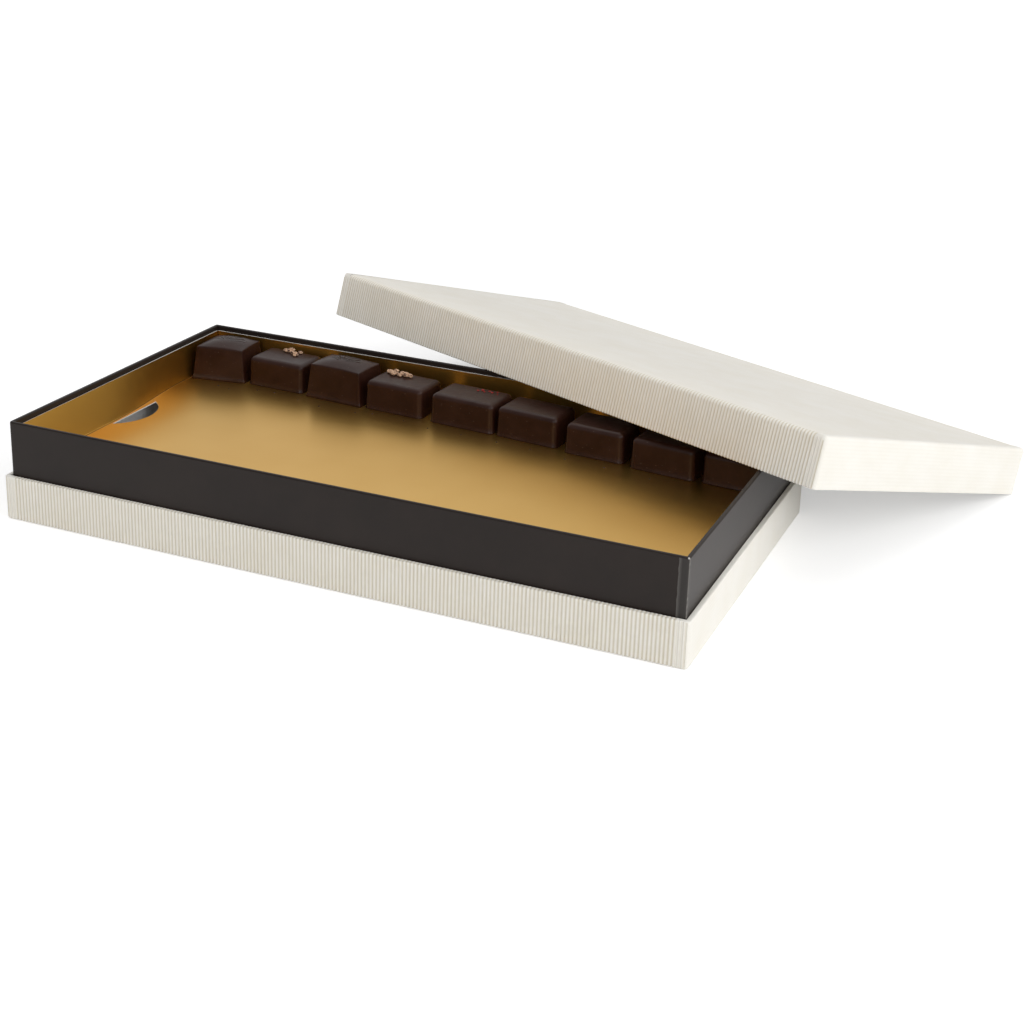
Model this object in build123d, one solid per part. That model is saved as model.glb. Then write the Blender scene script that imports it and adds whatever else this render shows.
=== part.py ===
"""Shoulder-neck chocolate box, open, with its lid leaning on the neck.

Millimetres. X runs along the box's long side, Y goes to the back, Z is up.
The origin is the centre of the base's underside.
"""
from build123d import *
from math import asin, cos, degrees, radians, sin
import os

# Neck: the tall dark collar that the lid slides over
neck_length = 300.0
neck_width = 160.0
neck_reveal = 24.0
neck_board_thickness = 1.4
neck_paper_thickness = 0.2
neck_corner_radius = 1.4
neck_rim_radius = 0.7
neck_turn_in_depth = 15.0
neck_clearance = 0.2

# Base and lid: board trays wrapped in ribbed paper
base_height = 19.5
lid_height = 22.0
board_thickness = 1.5
ribbed_paper_thickness = 0.6
turned_paper_thickness = 0.2
base_turn_in_depth = 12.0
liner_thickness = 0.2
liner_clearance = 0.3
box_corner_radius = 1.8
base_edge_radius = 0.9
lid_edge_radius = 2.4
rim_radius = 0.55

# Lid as it leans: its back long edge on the table, its front long edge on the neck's rim
lid_turn_degrees = -23.1
lid_past_neck_end = 24.2
lid_corner_past_middle = 3.2
lid_rest_gap = 0.1

# Gold card tray with its finger slot
tray_rim_drop = 2.3
tray_card_thickness = 0.5
tray_wall_height = 16.6
tray_clearance = 0.3
tray_end_lean = 0.5
tray_side_lean = 0.5
tray_fold_radius = 0.8
tray_seam_gap = 0.3
tray_seam_start = 1.2
seam_turn_degrees = 45.0
finger_slot_length = 34.0
finger_slot_depth = 8.8
finger_slot_margin = 5.6
finger_slot_off_middle = 3.5

# Card platform that carries the gold tray, and the struts under it
platform_card_thickness = 1.0
platform_clearance = 0.3
platform_fold_radius = 1.2
platform_seam_gap = 0.3
finger_room_length = 48.0
finger_room_depth = 16.0
finger_room_radius = 6.0
strut_card_thickness = 1.0
strut_flap_length = 14.0
strut_bend_radius = 1.5
strut_end_clearance = 0.3
strut_place_share = 0.18

# Row of pralines along the back wall
praline_count = 9
praline_spacing = 2.0
praline_depth = 20.8
low_height = 13.8
low_corner_radius = 2.2
low_top_radius = 2.4
domed_height = 18.6
domed_draft = 2.0
domed_crown_radius = 62.0
domed_corner_bevel = 0.8
domed_top_bevel = 0.6
praline_wall_gap = 0.3

# Toppings
nib_size = 2.7
nib_height = 1.5
nib_draft_degrees = 16.0
flake_size = 1.3
flake_height = 0.5
flake_draft_degrees = 8.0

# One overrun serves every cut
overrun = 1.0

# Levels, from the table up
base_board_bottom = ribbed_paper_thickness
base_floor = base_board_bottom + board_thickness
neck_bottom = base_floor + liner_thickness
neck_top = base_height + neck_reveal
tray_rim = neck_top - tray_rim_drop
tray_floor_height = tray_rim - tray_wall_height
tray_floor_bottom = tray_floor_height - tray_card_thickness

# Plan sizes that follow from the neck
neck_wall = neck_board_thickness + 2 * neck_paper_thickness
neck_inner_length = neck_length - 2 * neck_wall
neck_inner_width = neck_width - 2 * neck_wall
box_wall = turned_paper_thickness + board_thickness + ribbed_paper_thickness
box_length = neck_length + 2 * (neck_clearance + box_wall)
box_width = neck_width + 2 * (neck_clearance + box_wall)
lid_inner_height = lid_height - ribbed_paper_thickness - board_thickness - liner_thickness

# The gold tray's floor, inside its folds
tray_floor_length = neck_inner_length - 2 * (tray_clearance + tray_end_lean + tray_card_thickness)
tray_floor_width = neck_inner_width - 2 * (tray_clearance + tray_side_lean + tray_card_thickness)

# Pralines share the floor's length
praline_pitch = tray_floor_length / praline_count
praline_length = praline_pitch - praline_spacing


def upright(length, width, bottom, top, radius=0.0):
    """A block standing from bottom to top, with rounded vertical corners if a radius is given."""
    outline = RectangleRounded(length, width, radius) if radius > 0 else Rectangle(length, width)
    return Pos(0, 0, bottom) * extrude(outline, top - bottom)


def inset(radius, amount):
    """The corner radius of an outline drawn that much further in."""
    return max(radius - amount, 0.0)


def edges_at(solid, level):
    """The edges that lie flat at one level."""
    flat = solid.edges().filter_by_position(Axis.Z, level, level, (True, True))
    return flat


def wrapped_board(edge_radius, height):
    """The bare board of a tray that stands on its panel: panel below, open above."""
    length = box_length - 2 * ribbed_paper_thickness
    width = box_width - 2 * ribbed_paper_thickness
    corner = inset(box_corner_radius, ribbed_paper_thickness)
    bottom = ribbed_paper_thickness
    top = height - ribbed_paper_thickness
    block = upright(length, width, bottom, top, corner)
    block = fillet(edges_at(block, bottom), inset(edge_radius, ribbed_paper_thickness))
    hollow = upright(length - 2 * board_thickness, width - 2 * board_thickness,
                     bottom + board_thickness, top + overrun)
    return block - hollow


def ribbed_wrap(edge_radius, height, turn_in_depth):
    """The paper skin of such a tray: under the panel, up the walls, over the rim and down inside."""
    inner_length = box_length - 2 * box_wall
    inner_width = box_width - 2 * box_wall
    board_inner_length = inner_length + 2 * turned_paper_thickness
    board_inner_width = inner_width + 2 * turned_paper_thickness
    skin = upright(box_length, box_width, 0, height, box_corner_radius)
    skin = fillet(edges_at(skin, 0), edge_radius)
    skin -= upright(inner_length, inner_width, base_floor, height + overrun)
    skin = fillet(edges_at(skin, height), rim_radius)
    skin -= wrapped_board(edge_radius, height)
    turn_in_end = height - turn_in_depth
    if turn_in_end > base_floor:
        skin -= upright(board_inner_length, board_inner_width, base_floor, turn_in_end)
    return skin


def make_neck_board():
    ring = upright(neck_length - 2 * neck_paper_thickness, neck_width - 2 * neck_paper_thickness,
                   neck_bottom, neck_top - neck_paper_thickness,
                   inset(neck_corner_radius, neck_paper_thickness))
    hollow = upright(neck_inner_length + 2 * neck_paper_thickness, neck_inner_width + 2 * neck_paper_thickness,
                     neck_bottom - overrun, neck_top + overrun)
    ring -= hollow
    return fillet(edges_at(ring, neck_top - neck_paper_thickness), neck_rim_radius - neck_paper_thickness)


def make_neck_wrap():
    """Dark paper: up the outside, over the rim and down inside as far as the turn-in."""
    skin = upright(neck_length, neck_width, neck_bottom, neck_top, neck_corner_radius)
    skin -= upright(neck_inner_length, neck_inner_width, neck_bottom - overrun, neck_top + overrun)
    skin = fillet(edges_at(skin, neck_top), neck_rim_radius)
    below = upright(neck_inner_length + 2 * neck_paper_thickness, neck_inner_width + 2 * neck_paper_thickness,
                    neck_bottom - overrun, neck_top - neck_turn_in_depth)
    return skin - make_neck_board() - below


def make_base_liner():
    gap = neck_clearance + turned_paper_thickness
    sheet_length = neck_length + 2 * gap - 2 * liner_clearance
    sheet_width = neck_width + 2 * gap - 2 * liner_clearance
    return upright(sheet_length, sheet_width, base_floor, base_floor + liner_thickness)


def seam_cuts(half_length, half_width, bottom, top, gap):
    """Thin slits that part the walls of a folded tray at its four corners."""
    reach = 2 * (tray_end_lean + tray_card_thickness + platform_card_thickness + overrun)
    slit = upright(reach, gap, bottom, top + overrun)
    cuts = []
    for side_x in (-1, 1):
        for side_y in (-1, 1):
            turn = Rot(0, 0, side_x * side_y * seam_turn_degrees)
            cuts.append(Pos(side_x * half_length, side_y * half_width, 0) * turn * slit)
    return cuts


def leaning_block(length, width, bottom, top, lean_x, lean_y):
    """A block whose walls lean outwards as they rise."""
    foot = Pos(0, 0, bottom) * Rectangle(length, width)
    head = Pos(0, 0, top) * Rectangle(length + 2 * lean_x, width + 2 * lean_y)
    return loft([foot, head])


def make_gold_tray():
    """One sheet of gold card folded up on four sides, with a half-moon finger slot at its left end."""
    card = tray_card_thickness
    outer = leaning_block(tray_floor_length + 2 * card, tray_floor_width + 2 * card,
                          tray_floor_bottom, tray_rim, tray_end_lean, tray_side_lean)
    outer = fillet(edges_at(outer, tray_floor_bottom), tray_fold_radius)
    inner = leaning_block(tray_floor_length, tray_floor_width, tray_floor_height, tray_rim,
                          tray_end_lean, tray_side_lean)
    inner = fillet(edges_at(inner, tray_floor_height), tray_fold_radius - card)
    tray = outer - inner
    for cut in seam_cuts(tray_floor_length / 2 + tray_end_lean, tray_floor_width / 2 + tray_side_lean,
                         tray_floor_height + tray_seam_start, tray_rim, tray_seam_gap):
        tray -= cut
    chord_x = -tray_floor_length / 2 + finger_slot_margin
    half = finger_slot_length / 2
    arc = ThreePointArc((chord_x, -half), (chord_x + finger_slot_depth, 0), (chord_x, half))
    chord = Line((chord_x, half), (chord_x, -half))
    half_moon = extrude(make_face(arc + chord), card + 2 * overrun)
    slot = Pos(0, -finger_slot_off_middle, tray_floor_bottom - overrun) * half_moon
    return tray - slot


def platform_size():
    return (neck_inner_length - 2 * platform_clearance, neck_inner_width - 2 * platform_clearance)


def make_tray_platform():
    """An upturned tray of plain card under the gold one, cut away under the finger slot."""
    length, width = platform_size()
    card = platform_card_thickness
    outer = upright(length, width, neck_bottom, tray_floor_bottom)
    outer = fillet(edges_at(outer, tray_floor_bottom), platform_fold_radius)
    hollow = upright(length - 2 * card, width - 2 * card, neck_bottom - overrun, tray_floor_bottom - card)
    hollow = fillet(edges_at(hollow, tray_floor_bottom - card), platform_fold_radius - card)
    platform = outer - hollow
    for cut in seam_cuts(length / 2, width / 2, neck_bottom - overrun,
                         tray_floor_bottom - card - platform_fold_radius - overrun, platform_seam_gap):
        platform -= cut
    room_x = -length / 2 + card + finger_room_depth / 2
    room = RectangleRounded(finger_room_depth, finger_room_length, finger_room_radius)
    room = Pos(room_x, 0, tray_floor_bottom - card - overrun) * extrude(room, card + 2 * overrun)
    return platform - room


def make_strut(place):
    """A strip of card on edge between the platform's long walls, its ends folded into glue flaps."""
    length, width = platform_size()
    half = width / 2 - platform_card_thickness - strut_end_clearance - strut_card_thickness / 2
    path = FilletPolyline((place + strut_flap_length, -half), (place, -half), (place, half),
                          (place + strut_flap_length, half), radius=strut_bend_radius)
    strip = trace(path, strut_card_thickness)
    top = tray_floor_bottom - platform_card_thickness
    return Pos(0, 0, neck_bottom) * extrude(strip, top - neck_bottom)


def low_praline(length, depth):
    """A square of filling dipped in chocolate: upright sides and a well rounded top."""
    block = upright(length, depth, 0, low_height, low_corner_radius)
    return fillet(edges_at(block, low_height), low_top_radius)


def domed_praline(length, depth):
    """A tall moulded praline that narrows as it rises, its top cut from a wide ball so that it arches."""
    foot = Rectangle(length, depth)
    head = Pos(0, 0, domed_height) * Rectangle(length - 2 * domed_draft, depth - 2 * domed_draft)
    block = loft([foot, head])
    rising = block.edges().filter_by(lambda edge: edge.bounding_box().size.Z > overrun)
    block = chamfer(rising, domed_corner_bevel)
    block = block & Pos(0, 0, domed_height - domed_crown_radius) * Sphere(domed_crown_radius)
    arched = block.edges().filter_by(lambda edge: edge.bounding_box().min.Z > domed_height / 2)
    return chamfer(arched, domed_top_bevel)


# Each praline: form, place along the floor, gap to the back wall in depths, length, depth and turn in degrees
praline_row_shares = (
    ("domed", -0.4503, 0.00, 0.878, 1.13, 3.5),
    ("low", -0.3448, 0.00, 0.999, 0.99, -2.5),
    ("domed", -0.2301, 0.04, 1.018, 1.08, -5.0),
    ("low", -0.1205, 0.19, 1.002, 1.00, -4.0),
    ("low", 0.0029, 0.27, 1.077, 1.04, -4.5),
    ("low", 0.1167, 0.41, 1.012, 1.01, -5.5),
    ("low", 0.2321, 0.67, 0.927, 1.00, -4.0),
    ("low", 0.3455, 0.85, 0.992, 1.00, -5.5),
    ("low", 0.4513, 0.95, 0.865, 1.00, -4.0),
)


def praline_place(place_share, gap_share, length, depth, turn):
    """Where a praline stands on the floor: its back corner keeps its gap to the back wall."""
    angle = radians(abs(turn))
    reach = depth / 2 * cos(angle) + length / 2 * sin(angle)
    gap = praline_wall_gap + gap_share * praline_depth
    y = tray_floor_width / 2 - gap - reach
    return Pos(place_share * tray_floor_length, y, tray_floor_height) * Rot(0, 0, turn)


# Outline of one crumb, as shares of its size round its middle
crumb_outline_shares = ((0.52, 0.05), (0.18, 0.44), (-0.36, 0.33), (-0.5, -0.14), (0.08, -0.47))

# Crumbs on a top: place along and across the praline, size and turn in degrees
nibs_2_shares = (
    (-0.13, 0.26, 0.85, 20), (-0.04, 0.31, 1.0, 75), (0.045, 0.24, 0.85, 140),
    (0.11, 0.33, 0.7, 200), (0.13, 0.10, 0.75, 310),
)
nibs_4_shares = (
    (-0.35, 0.22, 0.9, 10), (-0.27, 0.32, 0.8, 95), (-0.24, 0.19, 1.0, 160),
    (-0.16, 0.30, 0.85, 230), (-0.12, 0.17, 0.9, 290), (-0.01, 0.22, 1.2, 40),
)
flakes_5_shares = (
    (0.02, 0.20, 1.0, 15), (0.07, 0.27, 1.2, 80), (0.12, 0.20, 0.8, 130), (0.17, 0.29, 0.9, 200),
    (0.23, 0.24, 1.0, 260), (0.29, 0.31, 0.8, 320), (0.33, 0.20, 0.6, 45),
)


def crumbs(shares, length, depth, size, height, draft_degrees):
    """Small broken crumbs standing on the flat top of a low praline."""
    outline = [(x * size, y * size) for x, y in crumb_outline_shares]
    pieces = []
    for along, across, scale_share, turn in shares:
        face = make_face(Polyline(outline, close=True))
        crumb = extrude(face, height, taper=draft_degrees)
        crumb = scale(crumb, by=scale_share)
        pieces.append(Pos(along * length, across * depth, low_height) * Rot(0, 0, turn) * crumb)
    return pieces


def lean_lid(solid):
    """Turns a lid drawn panel down over, and leans it on the rim with its back edge on the table."""
    rise = neck_top + lid_rest_gap
    tilt = degrees(asin(rise / (box_width - box_wall)))
    foot = rim_radius * (1 - sin(radians(tilt)) - cos(radians(tilt)))
    upturned = Pos(0, 0, lid_height) * Rot(180, 0, 0) * solid
    on_back_edge = Pos(0, -box_width / 2, 0) * upturned
    tilted = Pos(0, 0, foot) * Rot(-tilt, 0, 0) * on_back_edge
    front_reach = box_width * cos(radians(tilt))
    corner_at_origin = Pos(-box_length / 2, front_reach, 0) * tilted
    turned = Rot(0, 0, lid_turn_degrees) * corner_at_origin
    return Pos(neck_length / 2 + lid_past_neck_end, lid_corner_past_middle, 0) * turned


def make_lid_liner():
    length = box_length - 2 * box_wall - 2 * liner_clearance
    width = box_width - 2 * box_wall - 2 * liner_clearance
    floor = ribbed_paper_thickness + board_thickness
    return upright(length, width, floor, floor + liner_thickness)


parts = {
    "base_board": wrapped_board(base_edge_radius, base_height),
    "base_wrap": ribbed_wrap(base_edge_radius, base_height, base_turn_in_depth),
    "base_liner": make_base_liner(),
    "neck_board": make_neck_board(),
    "neck_wrap": make_neck_wrap(),
    "tray_platform": make_tray_platform(),
    "platform_strut_left": make_strut(-strut_place_share * neck_length),
    "platform_strut_right": make_strut(strut_place_share * neck_length),
    "gold_tray": make_gold_tray(),
    "lid_board": lean_lid(wrapped_board(lid_edge_radius, lid_height)),
    "lid_wrap": lean_lid(ribbed_wrap(lid_edge_radius, lid_height, lid_inner_height)),
    "lid_liner": lean_lid(make_lid_liner()),
}

toppings = {
    2: ("nibs_2", nibs_2_shares, nib_size, nib_height, nib_draft_degrees),
    4: ("nibs_4", nibs_4_shares, nib_size, nib_height, nib_draft_degrees),
    5: ("flakes_5", flakes_5_shares, flake_size, flake_height, flake_draft_degrees),
}

makers = {"low": low_praline, "domed": domed_praline}
for number, (form, place_share, gap_share, length_share, depth_share, turn) in enumerate(praline_row_shares, 1):
    length = length_share * praline_length
    depth = depth_share * praline_depth
    place = praline_place(place_share, gap_share, length, depth, turn)
    parts[f"praline_{number}"] = place * makers[form](length, depth)
    if number in toppings:
        name, shares, size, height, draft_degrees = toppings[number]
        parts[name] = Compound(children=[place * piece
                                         for piece in crumbs(shares, length, depth, size, height, draft_degrees)])

os.makedirs("parts", exist_ok=True)
for name, shape in parts.items():
    export_step(shape, f"parts/{name}.step")
print(len(parts), "parts")
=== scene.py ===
"""Looks of an open shoulder-neck chocolate box whose lid leans on its neck."""
import bmesh
import bpy
from math import cos, pi, radians, sin
from mathutils import Matrix, Vector, noise


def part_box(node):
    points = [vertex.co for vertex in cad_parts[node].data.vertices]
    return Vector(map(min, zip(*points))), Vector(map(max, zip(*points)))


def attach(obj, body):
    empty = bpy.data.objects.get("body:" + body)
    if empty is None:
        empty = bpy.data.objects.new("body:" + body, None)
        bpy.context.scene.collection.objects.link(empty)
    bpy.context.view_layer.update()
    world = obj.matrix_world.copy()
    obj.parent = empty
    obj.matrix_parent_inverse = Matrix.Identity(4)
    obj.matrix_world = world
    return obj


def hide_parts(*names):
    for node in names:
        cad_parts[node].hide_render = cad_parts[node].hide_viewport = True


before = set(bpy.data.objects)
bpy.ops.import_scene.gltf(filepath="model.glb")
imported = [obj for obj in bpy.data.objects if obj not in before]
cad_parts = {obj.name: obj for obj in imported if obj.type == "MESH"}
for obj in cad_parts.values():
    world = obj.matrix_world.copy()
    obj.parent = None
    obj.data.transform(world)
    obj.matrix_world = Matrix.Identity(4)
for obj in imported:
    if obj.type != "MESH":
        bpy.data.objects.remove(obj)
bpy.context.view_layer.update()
mm = 0.001


# Camera
# The photograph was taken from the front right and a little above, with a long lens.
camera_place = Vector((308.06, -627.42, 301.39)) * mm
camera_turn_degrees = (71.181, -1.908, 22.955)
camera_lens = 60.86
camera_shift = (-0.0121, -0.1283)

camera = bpy.data.objects.new("camera", bpy.data.cameras.new("camera"))
camera.location = camera_place
camera.rotation_euler = [radians(angle) for angle in camera_turn_degrees]
camera.data.lens = camera_lens
camera.data.shift_x, camera.data.shift_y = camera_shift
camera.data.clip_end = 50
bpy.context.scene.collection.objects.link(camera)
bpy.context.scene.camera = camera


# Floor and light
# A plain white studio: a wide pale floor, white surroundings, and four large soft lamps. What
# glossy surfaces mirror is white behind the box and greyer in front of it, as in a real room.
floor_half = 12.0
floor_color = (0.86, 0.86, 0.85, 1)
floor_seen_color = (0.80, 0.80, 0.80, 1)
floor_seen_glow = (0.42, 1.0)
floor_glow_reach = (0.35, 1.3)
world_strength = 0.70
backdrop_color = (1, 1, 1, 1)
mirrored_front = 0.24
mirrored_back = 0.80
mirrored_turn = (-0.55, 0.25)
lamps = (
    ("side_lamp", (1.5, -0.35, 1.05), (1.1, 1.1), 9.0),
    ("low_lamp", (1.7, 0.10, 0.40), (0.9, 0.6), 4.4),
    ("front_lamp", (0.3, -1.8, 0.9), (1.2, 0.9), 7.5),
    ("top_lamp", (-0.2, 0.35, 1.7), (1.4, 1.0), 3.5),
)


def new_material(name):
    """An empty node material and its output node."""
    material = bpy.data.materials.new(name)
    material.use_nodes = True
    tree = material.node_tree
    tree.nodes.clear()
    output = tree.nodes.new("ShaderNodeOutputMaterial")
    return material, tree, output


def math_node(tree, operation, first, second=0.0):
    node = tree.nodes.new("ShaderNodeMath")
    node.operation = operation
    for socket, value in zip(node.inputs, (first, second)):
        if isinstance(value, bpy.types.NodeSocket):
            tree.links.new(value, socket)
        else:
            socket.default_value = value
    return node.outputs[0]


def faded(tree, value, low, high, least=0.0, most=1.0):
    """Goes smoothly from least, where the value is low, to most, where it is high."""
    node = tree.nodes.new("ShaderNodeMapRange")
    node.interpolation_type = "SMOOTHSTEP"
    node.inputs["From Min"].default_value = low
    node.inputs["From Max"].default_value = high
    node.inputs["To Min"].default_value = least
    node.inputs["To Max"].default_value = most
    tree.links.new(value, node.inputs["Value"])
    return node.outputs[0]


def straight_ray(tree):
    """1 for what the camera sees straight or through glass."""
    path = tree.nodes.new("ShaderNodeLightPath")
    return math_node(tree, "MAXIMUM", path.outputs["Is Camera Ray"], path.outputs["Is Transmission Ray"])


def camera_or_mirror_ray(tree):
    """1 where the camera looks, straight or by a reflection, and 0 for light that bounces."""
    path = tree.nodes.new("ShaderNodeLightPath")
    return math_node(tree, "MAXIMUM", straight_ray(tree), path.outputs["Is Glossy Ray"])


bm = bmesh.new()
bmesh.ops.create_grid(bm, x_segments=1, y_segments=1, size=floor_half)
floor_mesh = bpy.data.meshes.new("floor")
bm.to_mesh(floor_mesh)
bm.free()
floor = bpy.data.objects.new("floor", floor_mesh)
bpy.context.scene.collection.objects.link(floor)
floor_material, tree, output = new_material("floor")
bounce = tree.nodes.new("ShaderNodeBsdfDiffuse")
bounce.inputs["Color"].default_value = floor_color
seen = tree.nodes.new("ShaderNodeBsdfDiffuse")
seen.inputs["Color"].default_value = floor_seen_color
where = tree.nodes.new("ShaderNodeTexCoord")
away = tree.nodes.new("ShaderNodeVectorMath")
away.operation = "LENGTH"
tree.links.new(where.outputs["Object"], away.inputs[0])
widening = faded(tree, away.outputs["Value"], *floor_glow_reach, *floor_seen_glow)
glow = tree.nodes.new("ShaderNodeEmission")
tree.links.new(widening, glow.inputs["Strength"])
bright = tree.nodes.new("ShaderNodeAddShader")
tree.links.new(seen.outputs[0], bright.inputs[0])
tree.links.new(glow.outputs[0], bright.inputs[1])
choose = tree.nodes.new("ShaderNodeMixShader")
tree.links.new(camera_or_mirror_ray(tree), choose.inputs[0])
tree.links.new(bounce.outputs[0], choose.inputs[1])
tree.links.new(bright.outputs[0], choose.inputs[2])
tree.links.new(choose.outputs[0], output.inputs["Surface"])
floor_mesh.materials.append(floor_material)

world = bpy.data.worlds.new("studio")
bpy.context.scene.world = world
world.use_nodes = True
tree = world.node_tree
tree.nodes.clear()
output = tree.nodes.new("ShaderNodeOutputWorld")
surround = tree.nodes.new("ShaderNodeBackground")
surround.inputs["Strength"].default_value = world_strength
backdrop = tree.nodes.new("ShaderNodeBackground")
backdrop.inputs["Color"].default_value = backdrop_color
direction = tree.nodes.new("ShaderNodeSeparateXYZ")
where = tree.nodes.new("ShaderNodeTexCoord")
tree.links.new(where.outputs["Generated"], direction.inputs[0])
mirrored = faded(tree, direction.outputs["Y"], *mirrored_turn, mirrored_front, mirrored_back)
tree.links.new(math_node(tree, "MAXIMUM", straight_ray(tree), mirrored), backdrop.inputs["Strength"])
choose = tree.nodes.new("ShaderNodeMixShader")
tree.links.new(camera_or_mirror_ray(tree), choose.inputs[0])
tree.links.new(surround.outputs[0], choose.inputs[1])
tree.links.new(backdrop.outputs[0], choose.inputs[2])
tree.links.new(choose.outputs[0], output.inputs["Surface"])

for name, place, size, power in lamps:
    lamp = bpy.data.lights.new(name, "AREA")
    lamp.shape = "RECTANGLE"
    lamp.size, lamp.size_y = size
    lamp.energy = power
    lamp_object = bpy.data.objects.new(name, lamp)
    lamp_object.location = place
    lamp_object.rotation_euler = (-Vector(place)).to_track_quat("-Z", "Y").to_euler()
    bpy.context.scene.collection.objects.link(lamp_object)
bpy.context.scene.view_settings.view_transform = "Standard"


# Boards and liners
# Grey pressed board stiffens the base, the neck and the lid, and thin cream sheets are glued
# over the bare board inside the base and the lid.
board_color = (0.42, 0.39, 0.34, 1)
board_fleck_color = (0.20, 0.18, 0.15, 1)
board_fleck_scale = 900
liner_color = (0.72, 0.70, 0.64, 1)
liner_fleck_color = (0.62, 0.59, 0.52, 1)
liner_fleck_scale = 500


def add_noise(tree, scale, detail=4.0, roughness=0.55, stretch=(1, 1, 1), source="Object"):
    """A noise texture on the piece's own coordinates, stretched along its axes."""
    where = tree.nodes.new("ShaderNodeTexCoord")
    mapping = tree.nodes.new("ShaderNodeMapping")
    mapping.inputs["Scale"].default_value = stretch
    texture = tree.nodes.new("ShaderNodeTexNoise")
    texture.inputs["Scale"].default_value = scale
    texture.inputs["Detail"].default_value = detail
    texture.inputs["Roughness"].default_value = roughness
    tree.links.new(where.outputs[source], mapping.inputs["Vector"])
    tree.links.new(mapping.outputs[0], texture.inputs["Vector"])
    return texture.outputs["Fac"]


def ramp(tree, value, stops):
    """A colour ramp through stops of (position, colour)."""
    node = tree.nodes.new("ShaderNodeValToRGB")
    elements = node.color_ramp.elements
    elements[0].position, elements[0].color = stops[0]
    elements[1].position, elements[1].color = stops[-1]
    for position, color in stops[1:-1]:
        element = elements.new(position)
        element.color = color
    tree.links.new(value, node.inputs["Fac"])
    return node.outputs["Color"]


def mix_colors(tree, amount, first, second, blend="MIX"):
    """Mixes two colours. Each of amount, first and second is a socket or a plain value."""
    node = tree.nodes.new("ShaderNodeMix")
    node.data_type = "RGBA"
    node.blend_type = blend
    for socket, value in ((node.inputs[0], amount), (node.inputs[6], first), (node.inputs[7], second)):
        if isinstance(value, bpy.types.NodeSocket):
            tree.links.new(value, socket)
        else:
            socket.default_value = value
    return node.outputs[2]


def bump(tree, height, strength, distance, normal=None):
    """A bump from a height, on top of another bump if one is given."""
    node = tree.nodes.new("ShaderNodeBump")
    node.inputs["Strength"].default_value = strength
    node.inputs["Distance"].default_value = distance
    tree.links.new(height, node.inputs["Height"])
    if normal:
        tree.links.new(normal, node.inputs["Normal"])
    return node.outputs[0]


def shader(tree, output, color, roughness, normal=None, **values):
    """A Principled shader whose colour and roughness may come from nodes."""
    node = tree.nodes.new("ShaderNodeBsdfPrincipled")
    for socket, value in ((node.inputs["Base Color"], color), (node.inputs["Roughness"], roughness)):
        if isinstance(value, bpy.types.NodeSocket):
            tree.links.new(value, socket)
        else:
            socket.default_value = value
    for name, value in values.items():
        node.inputs[name.replace("_", " ")].default_value = value
    if normal:
        tree.links.new(normal, node.inputs["Normal"])
    tree.links.new(node.outputs[0], output.inputs["Surface"])
    return node


def flecked_paper(name, color, fleck_color, scale):
    """Uncoated pulp: soft mottling and short fibres, with no shine."""
    material, tree, output = new_material(name)
    mottle = add_noise(tree, scale, detail=6)
    tint = ramp(tree, mottle, ((0.3, fleck_color), (0.62, color)))
    fibre = add_noise(tree, scale * 2, stretch=(1, 0.3, 1))
    shader(tree, output, tint, 0.9, bump(tree, fibre, 0.3, 0.0001))
    return material


def paint(nodes, material):
    """Gives CAD nodes that are shown as they are a finish."""
    for node in nodes:
        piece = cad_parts[node]
        piece.data.materials.clear()
        piece.data.materials.append(material)


greyboard = flecked_paper("greyboard", board_color, board_fleck_color, board_fleck_scale)
liner_paper = flecked_paper("liner_paper", liner_color, liner_fleck_color, liner_fleck_scale)
paint(("base_board", "neck_board", "lid_board"), greyboard)
paint(("base_liner", "lid_liner"), liner_paper)


# Ribbed covers of the base and the lid
# One sheet of cream ribbed paper covers each board tray: across the panel and up both long walls,
# over the rim and down inside. Its end flaps fold up the short walls and turn the corners, under
# the edges of the long flaps. The ribs run from front to back, so they stand on the long walls.
# The valleys between the ribs are painted darker than the ridges: painted shade.
rib_pitch = 1.616 * mm
rib_depth = 0.34 * mm
panel_rib_depth = 0.10 * mm
inside_rib_depth = 0.12 * mm
end_rib_depth = 0.04 * mm
# How much painted shade the nearly plain end faces get in their valleys.
end_rib_shade_share = 0.07
rib_narrowness = 1.5
samples_per_rib = 6
panel_fade = 5.0 * mm
wall_thickness = 2.3 * mm
rim_radius = 0.55 * mm
base_edge_radius = 0.9 * mm
base_corner_radius = 1.8 * mm
base_turn_in = 12 * mm
lid_edge_radius = 2.4 * mm
lid_end_radius = 1.5 * mm
lid_corner_radius = 2.0 * mm
lid_turn_in = 19.0 * mm
flap_gap = 1.15 * mm
flap_step = 0.22 * mm
corner_tab = 3.2 * mm
ridge_color = (0.890, 0.868, 0.815, 1)
# Painted shade: the darker, warmer colour the valleys between the ribs are tinted towards.
valley_shade_color = (0.66, 0.60, 0.485, 1)
# Painted shade: the paper turned in inside the walls is painted darker than the same paper outside.
inside_shade_color = (0.70, 0.68, 0.61, 1)

base_low, base_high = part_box("base_wrap")
base_size = base_high - base_low


def rounded_run(corners, steps=6):
    """Points along a folded path: (across, up, outward normal). A corner is (point, radius)."""
    points = []
    count = len(corners)
    for i, (corner, radius) in enumerate(corners):
        corner = Vector(corner)
        if i in (0, count - 1):
            other = Vector(corners[1][0] if i == 0 else corners[-2][0])
            along = (other - corner).normalized() if i == 0 else (corner - other).normalized()
            points.append((corner, Vector((-along.y, along.x))))
            continue
        before = (Vector(corners[i - 1][0]) - corner).normalized()
        after = (Vector(corners[i + 1][0]) - corner).normalized()
        start_normal = Vector((before.y, -before.x))
        end_normal = Vector((-after.y, after.x))
        turn = start_normal.angle_signed(end_normal)
        centre = corner + (before + after) * radius
        side = 1 if (corner - centre).dot(start_normal) > 0 else -1
        for step in range(steps + 1):
            normal = start_normal.copy()
            normal.rotate(Matrix.Rotation(-turn * step / steps, 2))
            points.append((centre + normal * radius * side, normal))
    return points


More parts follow.
